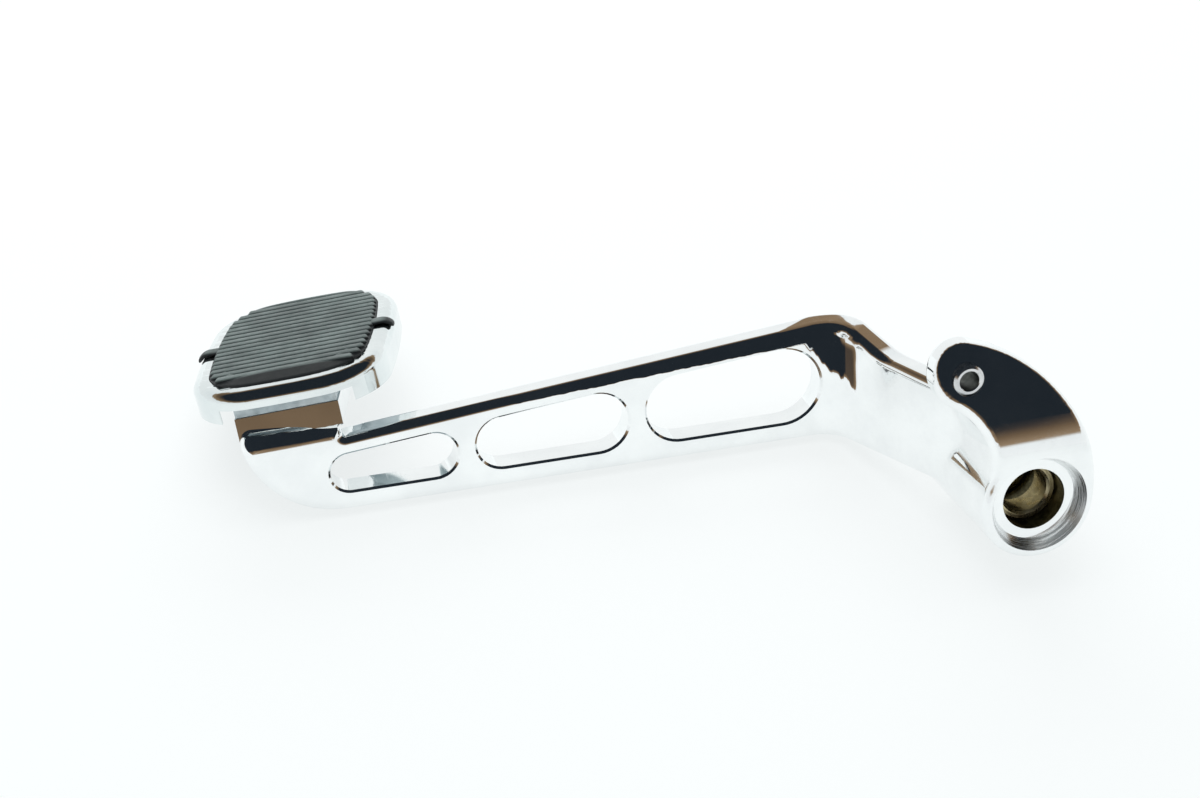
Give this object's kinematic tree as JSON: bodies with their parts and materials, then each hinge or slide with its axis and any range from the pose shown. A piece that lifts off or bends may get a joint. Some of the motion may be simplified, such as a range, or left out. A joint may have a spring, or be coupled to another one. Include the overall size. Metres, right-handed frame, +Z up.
{
  "type": "motorcycle rear brake pedal",
  "caption": "Chromed right-side brake pedal: slotted arm with a jog to a bushed pivot boss, a curved finger for the master cylinder's clevis, and a ribbed rubber foot pad in a bright trim.",
  "frame": {"origin": "on the pivot axis, halfway along the pivot boss", "axes": "+X forward to the foot pad, +Y inboard along the pivot axis, +Z up with the pedal as fitted"},
  "size_m": [0.2858, 0.1784, 0.0763],
  "materials": {
    "lever_chrome": "polished chrome plating on a steel forging, lightly scratched",
    "trim_chrome": "polished chrome plating on a thin pressing",
    "bushing_bronze": "oiled sintered bronze with an olive tint",
    "sleeve_steel": "turned bright steel",
    "plate_zinc": "blue-grey zinc plating",
    "pad_rubber": "moulded black rubber with a grey bloom"
  },
  "bodies": {
    "root": {"brake_lever": "lever_chrome", "inboard_pivot_bushing": "bushing_bronze", "outboard_pivot_bushing": "bushing_bronze", "clevis_sleeve": "sleeve_steel", "pad_backing_plate": "plate_zinc", "pad_washer": "plate_zinc", "pad_nut": "plate_zinc", "pad_trim": "trim_chrome", "pad_rubber": "pad_rubber"}
  },
  "joints": []
}
